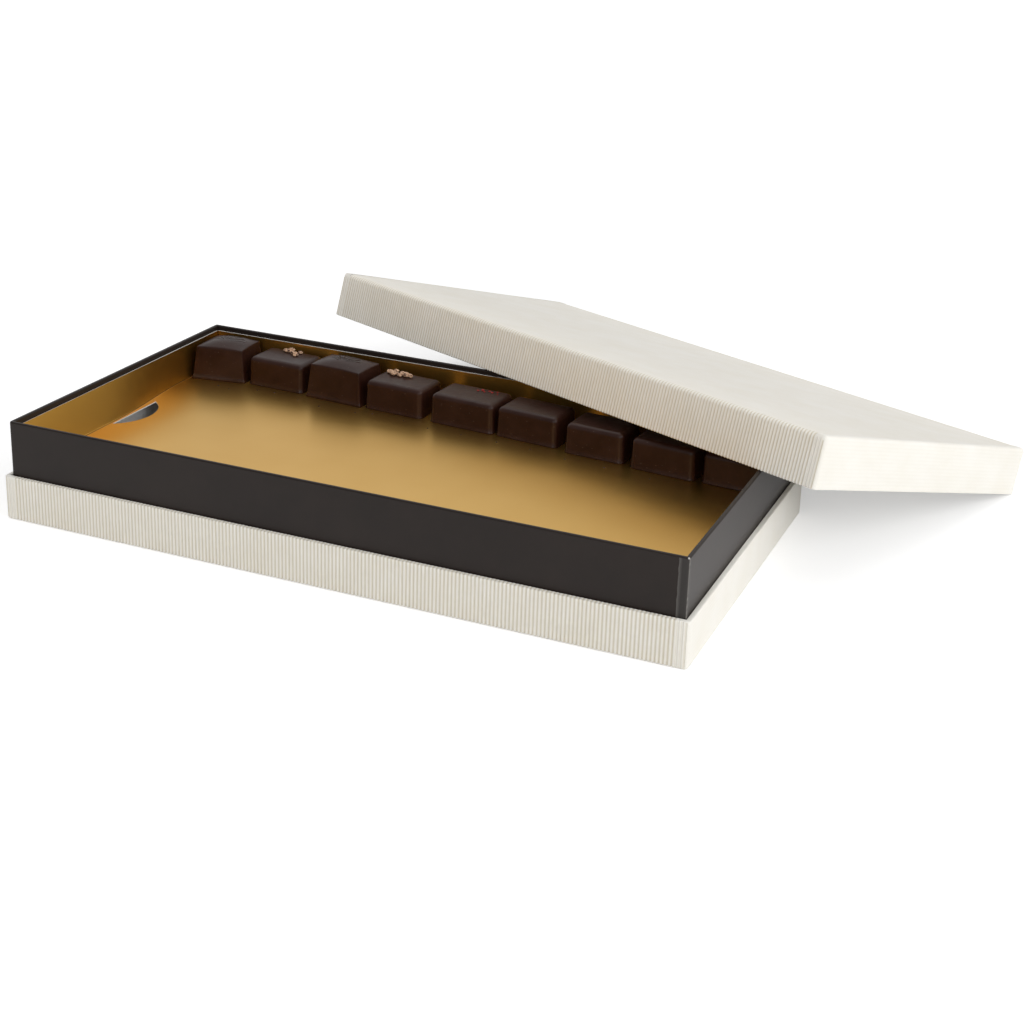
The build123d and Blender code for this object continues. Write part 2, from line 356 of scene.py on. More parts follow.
def rib_dip(distance):
    """How far the paper dips below a rib's ridge, from 0 to 1: wide ridges and narrow valleys."""
    return ((1 - cos(2 * pi * distance / rib_pitch)) / 2) ** rib_narrowness


def grid_sheet(columns, rows, layer=None):
    """A flat sheet of paper with one point for each column and row, and the points by their indices."""
    bm = bmesh.new()
    if layer:
        bm.verts.layers.float.new(layer)
    bmesh.ops.create_grid(bm, x_segments=columns - 1, y_segments=rows - 1, size=0.5)
    placed = []
    for v in bm.verts:
        column, row = (v.co.x + 0.5) * (columns - 1), (v.co.y + 0.5) * (rows - 1)
        placed.append((round(column), round(row), v))
    return bm, placed


def smoothstep(value):
    value = min(max(value, 0), 1)
    return value * value * (3 - 2 * value)


def long_flaps(size, edge_radius, end_radius, turn_in):
    """The sheet across the panel and over both long walls, ribs and all. The panel lies at 0."""
    half_x, half_y, height = size.x / 2, size.y / 2, size.z
    inside = half_y - wall_thickness
    corners = [((-inside, height - turn_in), 0), ((-inside, height), rim_radius),
               ((-half_y, height), rim_radius), ((-half_y, 0), edge_radius),
               ((-half_y + panel_fade, 0), 0)]
    front = rounded_run(corners)
    front.insert(1, (Vector((-inside, height - turn_in / 2)), front[0][1]))
    run = front + [(Vector((0, 0)), Vector((0, -1)))]
    run += [(Vector((-p.x, p.y)), Vector((-n.x, n.y))) for p, n in reversed(front)]
    columns = int(2 * half_x / rib_pitch * samples_per_rib) + 1
    bm, placed = grid_sheet(columns, len(run))
    dips = {}
    for column, row, v in placed:
        point, normal = run[row]
        x = (column / (columns - 1) - 0.5) * 2 * half_x
        from_edge = half_y - abs(point.x)
        on_panel = smoothstep((from_edge - edge_radius / 2) / panel_fade) if point.y < edge_radius else 0
        end = half_x - flap_gap - (end_radius - flap_gap / 2) * smoothstep(1 - point.y / edge_radius)
        x = min(max(x, -end), end)
        depth = rib_depth + (panel_rib_depth - rib_depth) * on_panel
        if abs(point.x) <= inside + rim_radius and point.y > edge_radius:
            depth = inside_rib_depth
        dip = rib_dip(x)
        v.co = Vector((x, point.x, point.y)) + Vector((0, normal.x, normal.y)) * depth * dip
        # Each point's share of painted shade, in step with the depth of its valley.
        dips[v] = dip * depth / rib_depth
    return bm, dips


def end_flap(size, edge_radius, corner_radius, turn_in):
    """The flap over the right short wall, with its tabs round both corners."""
    half_x, half_y, height = size.x / 2 - 0.03 * mm, size.y / 2 - 0.03 * mm, size.z
    corners = [((-wall_thickness, height - turn_in), 0), ((-wall_thickness, height), rim_radius),
               ((0, height), rim_radius), ((0, 0), edge_radius), ((-edge_radius - 1.5 * mm, 0), 0)]
    folds = rounded_run(corners, 8)
    wall_top, wall_foot = height - rim_radius, edge_radius
    steps = int((wall_top - wall_foot) / rib_pitch * samples_per_rib)
    drop = (wall_foot - wall_top) / steps
    wall = [(Vector((0, wall_top + drop * i)), Vector((1, 0))) for i in range(1, steps)]
    turned = 1 + 2 * 9
    run = folds[:turned] + wall + folds[turned:]
    path = []
    arc = 6
    for side in (-1, 1):
        tab = [(half_x - corner_radius - corner_tab, side * half_y, 0, side)]
        turning = [(half_x - corner_radius, side * (half_y - corner_radius),
                    cos(pi / 2 * i / arc), side * sin(pi / 2 * i / arc)) for i in range(arc, -1, -1)]
        path.append((tab, turning))
    columns = [("tab", path[0][0][0])] + [("turn", p) for p in path[0][1]]
    columns += [("turn", p) for p in reversed(path[1][1])] + [("tab", path[1][0][0])]
    bm, placed = grid_sheet(len(columns), len(run))
    dips = {}
    travelled = 0
    distance = [0]
    for (a, _), (b, _) in zip(run, run[1:]):
        travelled += (b - a).length
        distance.append(travelled)
    for column, row, v in placed:
        point, normal = run[row]
        kind, place = columns[column]
        turned_by = 1 if kind == "tab" else abs(place[3])
        dip = rib_dip(distance[row]) * (1 - smoothstep(turned_by * 1.5))
        step = 0 if point.x < -rim_radius else flap_step
        sunk = -point.x + end_rib_depth * dip * max(normal.x, 0)
        if kind == "tab":
            x, y, _, side = place
            v.co = Vector((x, y - side * (sunk + step), point.y))
        else:
            cx, cy, a, b = place
            step *= abs(b)
            reach = corner_radius - sunk - step
            if reach >= 0:
                v.co = Vector((cx + reach * a, cy + reach * b, point.y))
            else:
                v.co = Vector((cx + reach, cy + reach * (1 if b >= 0 and cy > 0 else -1), point.y))
        v.co.z += end_rib_depth * dip * (-normal.y)
        # Only a faint painted shade in the end faces' valleys.
        dips[v] = dip * end_rib_shade_share
    return bm, dips


def ribbed_cover(name, size, edge_radius, end_radius, corner_radius, turn_in, place, body, node):
    """Joins the long flaps and two end flaps into one piece, and moves it to its place."""
    mesh = bpy.data.meshes.new(name)
    whole = bmesh.new()
    # Per-point shares of painted shade in the ribs' valleys.
    valley_shade = whole.verts.layers.float.new("valley_shade")
    inside_shade = whole.verts.layers.float.new("inside_shade")
    for sheet, turned in ((long_flaps(size, edge_radius, end_radius, turn_in), False),
                          (end_flap(size, end_radius, corner_radius, turn_in), False),
                          (end_flap(size, end_radius, corner_radius, turn_in), True)):
        bm, dips = sheet
        copies = {}
        for v in bm.verts:
            co = Vector((-v.co.x, -v.co.y, v.co.z)) if turned else v.co
            copy = whole.verts.new(co)
            copy[valley_shade] = dips[v]
            # Paper turned in inside the walls, above the floor, takes the painted shade of the inside.
            inside = max(abs(co.x) - size.x / 2, abs(co.y) - size.y / 2) < -wall_thickness + 0.3 * mm
            copy[inside_shade] = 1.0 if inside and co.z > 2 * mm else 0.0
            copies[v] = copy
        for face in bm.faces:
            whole.faces.new([copies[v] for v in reversed(face.verts)])
        bm.free()
    bmesh.ops.dissolve_degenerate(whole, dist=0.005 * mm, edges=whole.edges)
    for face in whole.faces:
        face.smooth = True
    whole.to_mesh(mesh)
    whole.free()
    mesh.transform(place)
    piece = bpy.data.objects.new(name, mesh)
    bpy.context.scene.collection.objects.link(piece)
    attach(piece, body)
    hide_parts(node)
    return piece


def attribute(tree, name):
    node = tree.nodes.new("ShaderNodeAttribute")
    node.attribute_name = name
    return node.outputs["Fac"]


def ribbed_paper_material():
    material, tree, output = new_material("ribbed_paper")
    # Painted shade: the ribs' valleys are darkened towards a warmer, darker colour.
    color = mix_colors(tree, attribute(tree, "valley_shade"), ridge_color, valley_shade_color)
    mottle = add_noise(tree, 60, detail=3)
    warm = ramp(tree, mottle, ((0.3, (0.965, 0.955, 0.93, 1)), (0.7, (1, 1, 1, 1))))
    color = mix_colors(tree, 1.0, color, warm, "MULTIPLY")
    # Painted shade on the paper turned in inside the walls.
    color = mix_colors(tree, attribute(tree, "inside_shade"), color, inside_shade_color)
    fibre = add_noise(tree, 2600, detail=3, stretch=(1, 0.35, 0.35))
    shader(tree, output, color, 0.55, bump(tree, fibre, 0.25, 0.00006), Specular_IOR_Level=0.35)
    return material


ribbed_paper = ribbed_paper_material()
base_cover = ribbed_cover("base_ribbed_cover", base_size, base_edge_radius, base_edge_radius,
                          base_corner_radius, base_turn_in, Matrix.Identity(4), "base", "base_wrap")
base_cover.data.materials.append(ribbed_paper)

liner_points = [v.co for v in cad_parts["lid_liner"].data.vertices]
liner_front_left = min(liner_points, key=lambda p: round(p.x, 6))
liner_front_right = min(liner_points, key=lambda p: round(p.y, 6))
liner_back_left = max(liner_points, key=lambda p: round(p.y, 6))
along = (liner_front_right - liner_front_left).normalized()
back = (liner_back_left - liner_front_left)
back = (back - along * back.dot(along)).normalized()
up = along.cross(back)
wrap_points = [v.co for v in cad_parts["lid_wrap"].data.vertices]


def middle(direction):
    reach = [p.dot(direction) for p in wrap_points]
    return (min(reach) + max(reach)) / 2, max(reach) - min(reach)


(mid_along, lid_length), (mid_back, lid_width), (mid_up, lid_tall) = middle(along), middle(back), middle(up)
lid_top = along * mid_along + back * mid_back + up * (mid_up + lid_tall / 2)
lid_place = Matrix((along, -back, -up)).transposed().to_4x4()
lid_place.translation = lid_top
lid_size = Vector((lid_length, lid_width, lid_tall))
lid_cover = ribbed_cover("lid_ribbed_cover", lid_size, lid_edge_radius, lid_end_radius,
                         lid_corner_radius, lid_turn_in, lid_place, "lid", "lid_wrap")
lid_cover.data.materials.append(ribbed_paper)


# Neck
# A collar of board covered in dark paper, glued inside the base. The paper turns over the rim, and
# its two ends lap at the front right corner. A pale spot sits on the top of that corner, and thin
# painted highlights run down the rounded corner and along the lap's edge.
neck_color = (0.0120, 0.0072, 0.0055, 1)
neck_light_color = (0.0170, 0.0106, 0.0082, 1)
neck_corner_spot_color = (0.55, 0.53, 0.50, 1)
lap_reach = 2.6 * mm
lap_past_corner = 0.5 * mm
lap_thickness = 0.05 * mm
lap_color = (0.030, 0.026, 0.024, 1)
# Painted highlight: the thin light lines down the rounded corner and along the lap's edge.
lap_highlight_color = (0.30, 0.28, 0.26, 1)
neck_corner_radius = 1.4 * mm
corner_spot_radius = 0.75 * mm

neck_low, neck_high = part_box("neck_wrap")
neck_foot = base_high.z - 2 * mm


def nearness(tree, point, radius):
    """1 at a point of the piece and 0 beyond a radius from it."""
    where = tree.nodes.new("ShaderNodeTexCoord")
    away = tree.nodes.new("ShaderNodeVectorMath")
    away.operation = "DISTANCE"
    away.inputs[1].default_value = point
    tree.links.new(where.outputs["Object"], away.inputs[0])
    fade = tree.nodes.new("ShaderNodeMapRange")
    fade.inputs["From Min"].default_value = radius
    fade.inputs["From Max"].default_value = radius * 0.6
    tree.links.new(away.outputs["Value"], fade.inputs["Value"])
    return fade.outputs[0]


def dark_paper_material(name, color, light_color, roughness):
    material, tree, output = new_material(name)
    cloud = add_noise(tree, 45, detail=3)
    tint = ramp(tree, cloud, ((0.3, color), (0.75, light_color)))
    # A pale spot on the top of the front right corner.
    corner = (neck_high.x - 0.3 * mm, neck_low.y + 0.3 * mm, neck_high.z)
    tint = mix_colors(tree, nearness(tree, corner, corner_spot_radius), tint, neck_corner_spot_color)
    # Painted highlight along the corner and the lap's edge.
    tint = mix_colors(tree, attribute(tree, "edge_highlight"), tint, lap_highlight_color)
    grain = add_noise(tree, 3200, detail=2)
    shader(tree, output, tint, roughness, bump(tree, grain, 0.2, 0.00005), Specular_IOR_Level=0.26)
    return material


dark_paper = dark_paper_material("dark_paper", neck_color, neck_light_color, 0.42)
paint(("neck_wrap",), dark_paper)

lap_path = [(neck_high.x - neck_corner_radius - lap_reach, neck_low.y, 0, -1, 0)]
lap_path.append((neck_high.x - neck_corner_radius - lap_reach / 2, neck_low.y, 0, -1, 0))
# Two steps round the corner's arc carry the painted highlight.
for step in range(9):
    angle = -pi / 2 + pi / 2 * step / 8
    lap_path.append((neck_high.x - neck_corner_radius * (1 - cos(angle)),
                     neck_low.y + neck_corner_radius * (1 + sin(angle)), cos(angle), sin(angle),
                     1.0 if step in (5, 6) else 0.0))
lap_path.append((neck_high.x, neck_low.y + neck_corner_radius + lap_past_corner, 1, 0, 0))
bm, placed = grid_sheet(len(lap_path), 25, "edge_highlight")
edge_highlight = bm.verts.layers.float["edge_highlight"]
for column, row, v in placed:
    x, y, nx, ny, highlight_share = lap_path[column]
    z = neck_foot + (neck_high.z - 0.45 * mm - neck_foot) * row / 24
    if column == 0:
        x += 0.28 * mm * noise.noise(Vector((z * 400, 0, 0)))
    v.co = (x + nx * lap_thickness, y + ny * lap_thickness, z)
    # The painted highlight flickers along the corner, and a fainter one runs down the lap's left edge.
    v[edge_highlight] = highlight_share * (0.45 + 0.5 * noise.noise(Vector((0, z * 900, 0)))) + (0.25 if column == 0 else 0)
mesh = bpy.data.meshes.new("neck_paper_lap")
bm.to_mesh(mesh)
bm.free()
neck_lap = bpy.data.objects.new("neck_paper_lap", mesh)
bpy.context.scene.collection.objects.link(neck_lap)
for polygon in mesh.polygons:
    polygon.use_smooth = True
mesh.materials.append(dark_paper_material("lapped_paper", lap_color, lap_color, 0.38))
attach(neck_lap, "base")


# Platform and struts
# White folded card under the gold tray lifts its floor.
plain_card = flecked_paper("plain_card", (0.78, 0.78, 0.77, 1), (0.70, 0.70, 0.69, 1), 400)
paint(("tray_platform", "platform_strut_left", "platform_strut_right"), plain_card)


# Gold tray
# One sheet of card, gold on its upper side and white behind, creased and folded up on four sides.
# A half-moon finger slot is stamped out at its left end, and every cut edge shows the white card.
# Its left crease runs askew, so that wall leans out more towards the front.
tray_card = 0.5 * mm
tray_fold_radius = 0.3 * mm
tray_lean = 0.5 * mm
tray_seam_start = 1.2 * mm
tray_seam_gap = 0.3 * mm
tray_bow = 0.18 * mm
crease_skew = 4.5 * mm
crease_skew_start = 45 * mm
crease_skew_run = 60 * mm
slot_chord_x = -141.3 * mm
slot_middle_y = -3.5 * mm
slot_length = 34.0 * mm
slot_depth = 8.8 * mm
slot_arc_steps = 84
slot_chord_steps = 28
tray_split_degrees = 50
gold_color = (0.755, 0.465, 0.125, 1)
gold_dark_color = (0.71, 0.42, 0.10, 1)
# Painted shade: the walls' foil is painted a deeper, darker gold than the floor's.
gold_wall_shade_color = (0.74, 0.42, 0.085, 1)
# Painted shade along the crease at the foot of the walls.
crease_shade_color = (0.16, 0.065, 0.010, 1)
card_white = (0.88, 0.86, 0.82, 1)

tray_low, tray_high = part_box("gold_tray")
floor_z = tray_low.z + tray_card
wall_top = tray_high.z - floor_z
floor_half_x = tray_high.x - tray_card - tray_lean
floor_half_y = tray_high.y - tray_card - tray_lean

# Levels from the floor round the fold and up the walls; the last number is each level's share of painted
# crease shade.
tray_levels = [(-tray_fold_radius * (1 - sin(a)), tray_fold_radius * (1 - cos(a)), w)
               for a, w in ((0, 0.0), (pi / 6, 1.0), (pi / 3, 1.0), (pi / 2, 0.0))]
for up in (0.7 * mm, tray_seam_start, 3 * mm, 6 * mm, 9 * mm, 12 * mm, 14.5 * mm, wall_top):
    tray_levels.append((tray_lean * up / wall_top, up, 0.0))


def tray_point(side, along, level):
    """A point on a wall's gold face: side 0 to 3 from the front round to the left, along from -1 to 1."""
    out, up, _ = tray_levels[level]
    end_x, end_y = floor_half_x + out, floor_half_y + out
    parted = tray_seam_gap / 2 if up > tray_seam_start else 0
    bow = tray_bow * cos(pi / 2 * along) * sin(pi * up / wall_top)
    if side in (0, 2):
        x, y = along * (end_x - parted), (end_y + bow) * (-1 if side == 0 else 1)
    else:
        x, y = (end_x + bow) * (1 if side == 1 else -1), along * (end_y - parted)
    askew = crease_skew * smoothstep((crease_skew_start - y) / crease_skew_run) * (1 - up / wall_top)
    if x < 0:
        x += askew * smoothstep((-x - floor_half_x * 0.9) / (floor_half_x * 0.1))
    return Vector((x, y, floor_z + up))


whole = bmesh.new()
crease = whole.verts.layers.float.new("crease")
wall_shade = whole.verts.layers.float.new("wall_shade")
for side in range(4):
    columns = 33 if side in (0, 2) else 25
    bm, placed = grid_sheet(columns, len(tray_levels))
    corners = {}
    for column, row, v in placed:
        share = column / (columns - 1) * 2 - 1
        along = sin(pi / 2 * share)
        copy = whole.verts.new(tray_point(side, along, row))
        copy[crease] = tray_levels[row][2]
        # Share of the walls' painted shade: none on the floor, full up the walls.
        copy[wall_shade] = min(row / 3, 1)
        corners[v] = copy
    for face in bm.faces:
        whole.faces.new([corners[v] for v in face.verts])
    bm.free()
bmesh.ops.remove_doubles(whole, verts=whole.verts, dist=0.01 * mm)
fold_edges = [e for e in whole.edges if len(e.link_faces) == 1
              and all(abs(v.co.z - floor_z) < 0.001 * mm for v in e.verts)]
slot_radius = (slot_length ** 2 / 4 + slot_depth ** 2) / (2 * slot_depth)
slot_reach = Vector((slot_radius - slot_depth, slot_length / 2)).angle(Vector((1, 0)))
slot_centre = Vector((slot_chord_x + slot_depth - slot_radius, slot_middle_y))
slot_outline = []
for step in range(slot_arc_steps + 1):
    angle = slot_reach * (2 * step / slot_arc_steps - 1)
    slot_outline.append(slot_centre + slot_radius * Vector((cos(angle), sin(angle))))
for step in range(1, slot_chord_steps):
    slot_outline.append(slot_outline[slot_arc_steps].lerp(slot_outline[0], step / slot_chord_steps))
slot_verts = [whole.verts.new((point.x, point.y, floor_z)) for point in slot_outline]
slot_edges = [whole.edges.new(pair) for pair in zip(slot_verts, slot_verts[1:] + slot_verts[:1])]
bmesh.ops.bridge_loops(whole, edges=fold_edges + slot_edges)
inside = Vector((0, 0, tray_high.z + wall_top))
for face in whole.faces:
    face.normal_update()
    if face.normal.dot(inside - face.calc_center_median()) < 0:
        face.normal_flip()
for face in whole.faces:
    face.smooth = max(v.co.z for v in face.verts) > floor_z + 0.001 * mm
mesh = bpy.data.meshes.new("gold_card_tray")
whole.to_mesh(mesh)
whole.free()
tray_piece = bpy.data.objects.new("gold_card_tray", mesh)
bpy.context.scene.collection.objects.link(tray_piece)
thickness = tray_piece.modifiers.new("card", "SOLIDIFY")
thickness.thickness = tray_card
thickness.offset = -1
thickness.use_even_offset = True
thickness.material_offset = 1
thickness.material_offset_rim = 1
sharp = tray_piece.modifiers.new("cut_edges", "EDGE_SPLIT")
sharp.split_angle = radians(tray_split_degrees)


def gold_material():
    """Gold foil on card: a soft metal, with painted shade darkening the crease and a deeper painted shade
    on the walls.
    """
    material, tree, output = new_material("gold_card")
    cloud = add_noise(tree, 18, detail=2)
    color = ramp(tree, cloud, ((0.3, gold_dark_color), (0.7, gold_color)))
    # Painted shade: a deeper gold on the walls.
    color = mix_colors(tree, attribute(tree, "wall_shade"), color, gold_wall_shade_color)
    # Painted shade along the crease.
    color = mix_colors(tree, attribute(tree, "crease"), color, crease_shade_color)
    dents = add_noise(tree, 35, detail=2)
    rolled = add_noise(tree, 260, detail=4, stretch=(0.12, 1, 1))
    grain = add_noise(tree, 1500, detail=2)
    uneven = bump(tree, dents, 0.12, 0.00025)
    uneven = bump(tree, rolled, 0.15, 0.00003, uneven)
    uneven = bump(tree, grain, 0.12, 0.00004, uneven)
    sheen = ramp(tree, rolled, ((0.3, (0.305, 0.305, 0.305, 1)), (0.7, (0.32, 0.32, 0.32, 1))))
    shader(tree, output, color, sheen, uneven, Metallic=1.0)
    return material


mesh.materials.append(gold_material())
mesh.materials.append(flecked_paper("card_edge", card_white, (0.80, 0.78, 0.73, 1), 600))
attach(tray_piece, "tray")
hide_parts("gold_tray")


# Pralines
# Seven squares of filling dipped in dark chocolate, with a thin lip where the coat ran down to the
# foot, and two tall moulded ones with an arched top, sharp edges and a pressed fan.
praline_forms = {1: ("domed", 3.5), 2: ("low", -2.5), 3: ("domed", -5.0),
                 4: ("low", -4.0), 5: ("low", -4.5), 6: ("low", -5.5),
                 7: ("low", -4.0), 8: ("low", -5.5), 9: ("low", -4.0)}
askew_front = {1: (1.0 * mm, 1.5 * mm)}
coat_lip = 0.22 * mm
coat_waves = 0.16 * mm
low_corner = 2.3 * mm
low_top_round = 2.4 * mm
low_lean = 0.45 * mm
dome_draft = 2.0 * mm
dome_crown = 2.3 * mm
dome_corner_drop = 0.35 * mm
dome_corner = 0.7 * mm
dome_edge = 0.45 * mm
dome_flare = 0.5 * mm
corner_steps = 6
side_steps = (9, 14)
chocolate_dark = (0.0205, 0.0062, 0.0036, 1)
chocolate_light = (0.0310, 0.0100, 0.0060, 1)
# Pale colour for bloom patches and crumbs, and for the specks of painted highlight.
bloom_and_highlight_color = (0.16, 0.12, 0.10, 1)
fan_foot = 4.0 * mm
fan_start = 2.0 * mm
fan_end = 10.0 * mm
fan_fade = 1.2 * mm
fan_flutes = 18.0
fan_half_angle = 1.13


def rounded_outline(half_x, half_y, radius):
    """A rounded rectangle, anticlockwise, with the same count of points for every size."""
    radius = max(min(radius, half_x - 0.05 * mm, half_y - 0.05 * mm), 0.02 * mm)
    corners = ((1, -1, -pi / 2), (1, 1, 0), (-1, 1, pi / 2), (-1, -1, pi))
    arcs = []
    for side_x, side_y, start in corners:
        centre = Vector((side_x * (half_x - radius), side_y * (half_y - radius)))
        angles = [start + pi / 2 * step / corner_steps for step in range(corner_steps + 1)]
        arcs.append([centre + Vector((cos(a), sin(a))) * radius for a in angles])
    points = []
    for i, arc in enumerate(arcs):
        points += arc
        following = arcs[(i + 1) % 4][0]
        count = side_steps[i % 2]
        points += [arc[-1].lerp(following, step / count) for step in range(1, count)]
    return points


def low_levels(half_x, half_y, height):
    """Rings of a dipped praline from its foot to the middle of its top: (inset, height)."""
    levels = [(0.25 * mm, 0), (-coat_lip, 0.12 * mm), (-coat_lip, 0.38 * mm), (0.02 * mm, 0.8 * mm)]
    straight = height - low_top_round
    lip_top = 0.8 * mm
    for share in (0.2, 0.4, 0.6, 0.8, 1):
        levels.append((low_lean * share, lip_top + (straight - lip_top) * share))
    for step in range(1, 8):
        angle = pi / 2 * step / 7
        levels.append((low_lean + low_top_round * (1 - cos(angle)), straight + low_top_round * sin(angle)))
    reach = low_lean + low_top_round
    levels += [(reach + (half_y - 0.6 * mm - reach) * share, height) for share in (0.15, 0.3, 0.5, 0.75, 1)]
    return [(inset, z, low_corner) for inset, z in levels]


def praline_mesh(number, form):
    """Rings of points from the foot up and in over the top, waved a little and closed at both ends."""
    turn = radians(praline_forms[number][1])
    unturn = Matrix.Rotation(-turn, 2)
    points = [v.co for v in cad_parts[f"praline_{number}"].data.vertices]
    flat = [unturn @ p.xy for p in points]
    low = Vector((min(p.x for p in flat), min(p.y for p in flat)))
    high = Vector((max(p.x for p in flat), max(p.y for p in flat)))
    foot, top = min(p.z for p in points), max(p.z for p in points)
    half = (high - low) / 2
    centre = (high + low) / 2
    height = top - foot

    def arch(x, y):
        across = min(abs(x) / (half.x - dome_draft), 1)
        deep = min(abs(y) / (half.y - dome_draft), 1)
        bulge = (1 - across ** 2.3) * (1 - deep ** 2.3)
        return height - dome_crown * (1 - bulge) - dome_corner_drop * (across ** 2 + deep ** 2) / 2

    if form == "low":
        levels = [(inset, corner, z, None) for inset, z, corner in low_levels(half.x, half.y, height)]
    else:
        levels = [(0.15 * mm, dome_corner, 0, None), (-0.02 * mm, dome_corner, 0.15 * mm, None)]
        for share in (0.06, 0.13, 0.22, 0.35, 0.5, 0.65, 0.8, 0.93):
            flare = dome_flare * (1 - share) * min(share / 0.13, 1)
            levels.append((dome_draft * share + flare, dome_corner, share, "rise"))
        for inset, drop in ((0, 1.0), (0.12, 0.42), (0.45, 0.1), (1.0, 0)):
            levels.append((dome_draft + inset * dome_edge, dome_corner, drop * dome_edge, "drop"))
        edge = dome_draft + dome_edge
        reach = half.y - 0.6 * mm
        for share in (0.08, 0.2, 0.35, 0.55, 0.78, 1):
            levels.append((edge + (reach - edge) * share, dome_corner, 0, "drop"))
    bm = bmesh.new()
    layers = {name: bm.verts.layers.float.new(name) for name in ("fan_x", "fan_y", "fan")}
    outline = rounded_outline(half.x, half.y, low_corner)
    bmesh.ops.create_circle(bm, segments=len(outline), radius=1, cap_ends=False)
    bm.verts.ensure_lookup_table()
    ring = list(bm.verts)
    spin = Matrix.Rotation(turn, 2)
    for index, (inset, corner, z, kind) in enumerate(levels):
        if index:
            edges = [e for e in bm.edges if e.verts[0] in ring_set and e.verts[1] in ring_set]
            made = bmesh.ops.extrude_edge_only(bm, edges=edges)["geom"]
            fresh = {v for v in made if isinstance(v, bmesh.types.BMVert)}
            ring = [next(e.other_vert(v) for e in v.link_edges if e.other_vert(v) in fresh) for v in ring]
        ring_set = set(ring)
        radius = max(corner - inset * 0.6, 0.3 * mm)
        for v, p in zip(ring, rounded_outline(half.x - inset, half.y - inset, radius)):
            level = z
            if kind == "rise":
                level = z * arch(p.x, p.y)
            if kind == "drop":
                level = arch(p.x, p.y) - z
            v[layers["fan_x"]], v[layers["fan_y"]] = p.x, p.y
            v[layers["fan"]] = 1.0 if kind == "drop" else 0.0
            seen = Vector((p.x, p.y, level)) * 130 + Vector((number * 7, 0, 0))
            wave = coat_waves if form == "low" else coat_waves * 0.35
            lift = wave * noise.noise(seen) if 0.5 * mm < level else 0
            grow = 1 + (lift - 0.1 * mm) / half.x if level < height - low_top_round else 1
            left, front = max(-p.x / half.x, 0), max(-p.y / half.y, 0)
            wider, forward = askew_front.get(number, (0, 0))
            aside = Vector((-wider * left * front, forward * p.x / half.x * front))
            spot = spin @ (centre + p * grow + aside)
            rise = 0.6 * lift if level > height * 0.7 else 0
            v.co = (spot.x, spot.y, foot + min(level + rise, height))
        if index == 0:
            bm.faces.new(list(reversed(ring)))
    bm.faces.new(ring)
    bmesh.ops.recalc_face_normals(bm, faces=bm.faces)
    for face in bm.faces:
        face.smooth = True
    mesh = bpy.data.meshes.new(f"dark_praline_{number}")
    bm.to_mesh(mesh)
    bm.free()
    return mesh


def pressed_fan(tree):
    """Height of a half fan of flutes pressed into the arched tops, from the tops' own coordinates."""
    x = attribute(tree, "fan_x")
    y = math_node(tree, "ADD", attribute(tree, "fan_y"), fan_foot)
    angle = math_node(tree, "ARCTAN2", x, y)
    away = math_node(tree, "SQRT", math_node(tree, "ADD", math_node(tree, "MULTIPLY", x, x),
                                             math_node(tree, "MULTIPLY", y, y)))
    flutes = math_node(tree, "COSINE", math_node(tree, "MULTIPLY", angle, fan_flutes))
    mask = math_node(tree, "MULTIPLY", faded(tree, away, fan_end, fan_end - fan_fade),
                     faded(tree, away, fan_start, fan_start + fan_fade))
    turned = math_node(tree, "ABSOLUTE", angle)
    mask = math_node(tree, "MULTIPLY", mask, faded(tree, turned, fan_half_angle + 0.06, fan_half_angle))
    mask = math_node(tree, "MULTIPLY", mask, attribute(tree, "fan"))
    return math_node(tree, "MULTIPLY", flutes, mask)


def chocolate_material():
    """Dark chocolate: a soft sheen, faint waves, rubbed spots and a few pale specks of painted highlight.
    """
    material, tree, output = new_material("dark_chocolate")
    cloud = add_noise(tree, 120, detail=4)
    color = ramp(tree, cloud, ((0.3, chocolate_dark), (0.7, chocolate_light)))
    rubbed = add_noise(tree, 330, detail=5, roughness=0.7, stretch=(1, 1, 0.45))
    rub = ramp(tree, rubbed, ((0.66, (0, 0, 0, 1)), (0.80, (0.35, 0.35, 0.35, 1))))
    color = mix_colors(tree, rub, color, bloom_and_highlight_color)
    # Painted highlight: tiny pale specks scattered over the coat.
    where = tree.nodes.new("ShaderNodeTexCoord")
    specks = tree.nodes.new("ShaderNodeTexVoronoi")
    specks.inputs["Scale"].default_value = 420
    tree.links.new(where.outputs["Object"], specks.inputs["Vector"])
    highlight_speck = ramp(tree, specks.outputs["Distance"], ((0.05, (0.55, 0.55, 0.55, 1)), (0.10, (0, 0, 0, 1))))
    color = mix_colors(tree, highlight_speck, color, bloom_and_highlight_color)
    sheen = ramp(tree, cloud, ((0.3, (0.30, 0.30, 0.30, 1)), (0.7, (0.42, 0.42, 0.42, 1))))
    waves = bump(tree, add_noise(tree, 210, detail=2), 0.35, 0.0004)
    grain = bump(tree, add_noise(tree, 1100, detail=4), 0.22, 0.0001, waves)
    pressed = bump(tree, pressed_fan(tree), 0.9, 0.0006, grain)
    shader(tree, output, color, sheen, pressed, Specular_IOR_Level=0.30)
    return material


dark_chocolate = chocolate_material()
for number, (form, _) in praline_forms.items():
    mesh = praline_mesh(number, form)
    mesh.materials.append(dark_chocolate)
    piece = bpy.data.objects.new(f"dark_praline_{number}", mesh)
    bpy.context.scene.collection.objects.link(piece)
    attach(piece, f"praline_{number}_piece")
    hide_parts(f"praline_{number}")


